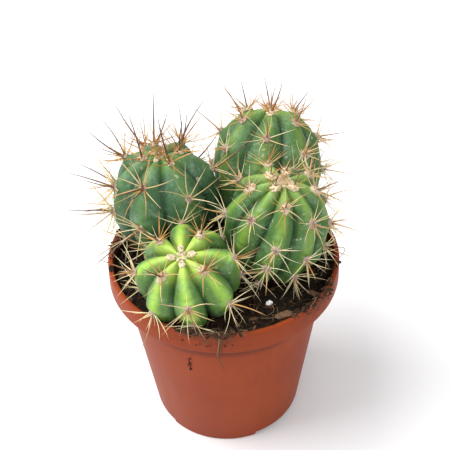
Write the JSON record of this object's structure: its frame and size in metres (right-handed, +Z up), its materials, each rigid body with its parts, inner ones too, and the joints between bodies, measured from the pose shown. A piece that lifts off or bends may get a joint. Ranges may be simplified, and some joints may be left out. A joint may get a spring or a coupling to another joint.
{
  "type": "potted cactus group",
  "caption": "Young ribbed column cacti with woolly areoles and long spines, crowded in a stepped-rim terracotta coloured plastic pot filled with soil.",
  "frame": {"origin": "centre of the pot's flat underside", "axes": "+Z up along the pot's axis, -Y towards the front, where the smallest cactus stands"},
  "size_m": [0.1558, 0.167, 0.184],
  "materials": {
    "pot_plastic": "satin moulded terracotta colour",
    "potting_soil": "loose damp peat, matte",
    "front_skin": "waxy plant skin, lime green",
    "left_skin": "waxy plant skin, bluish green",
    "right_skin": "waxy plant skin, mid green",
    "back_skin": "waxy plant skin, green",
    "perlite": "matte, porous",
    "bark": "rough bark",
    "grit": "matte"
  },
  "bodies": {
    "root": {"pot": "pot_plastic", "soil": "potting_soil", "cactus_front": "front_skin", "cactus_left": "left_skin", "cactus_right": "right_skin", "cactus_back": "back_skin", "perlite_grain": "perlite", "bark_chip_front": "bark", "bark_chip_right": "bark", "bark_chip_left": "bark", "grit_pebble": "grit"}
  },
  "joints": []
}
